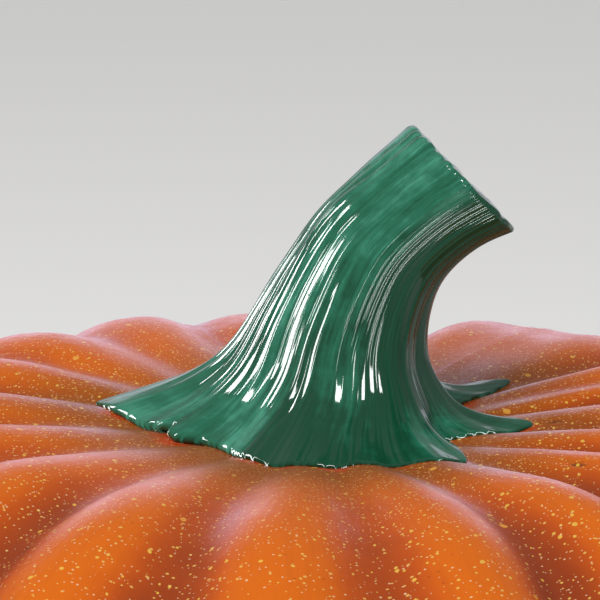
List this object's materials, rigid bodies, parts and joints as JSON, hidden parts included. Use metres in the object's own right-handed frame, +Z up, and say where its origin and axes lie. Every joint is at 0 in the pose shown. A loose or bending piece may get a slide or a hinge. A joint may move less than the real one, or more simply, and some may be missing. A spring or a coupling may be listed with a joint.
{
  "type": "pumpkin",
  "caption": "Broad, flattened, deeply ribbed orange pumpkin with a curved green stem whose clawed foot spreads over the top.",
  "frame": {"origin": "centre of the flat spot that the pumpkin rests on, on the axis of the fruit, under the stem", "axes": "+Z up along the axis of the fruit; -Y is the front, the side that the picture shows; +X is the side that the stem leans to"},
  "size_m": [0.3326, 0.3298, 0.2338],
  "materials": {
    "rind": "satin, orange with red-brown valleys and small yellow specks",
    "stem": "glossy deep green with fine lengthwise ridges"
  },
  "bodies": {
    "root": {"pumpkin_body": "rind", "pumpkin_stem": "stem"}
  },
  "joints": []
}
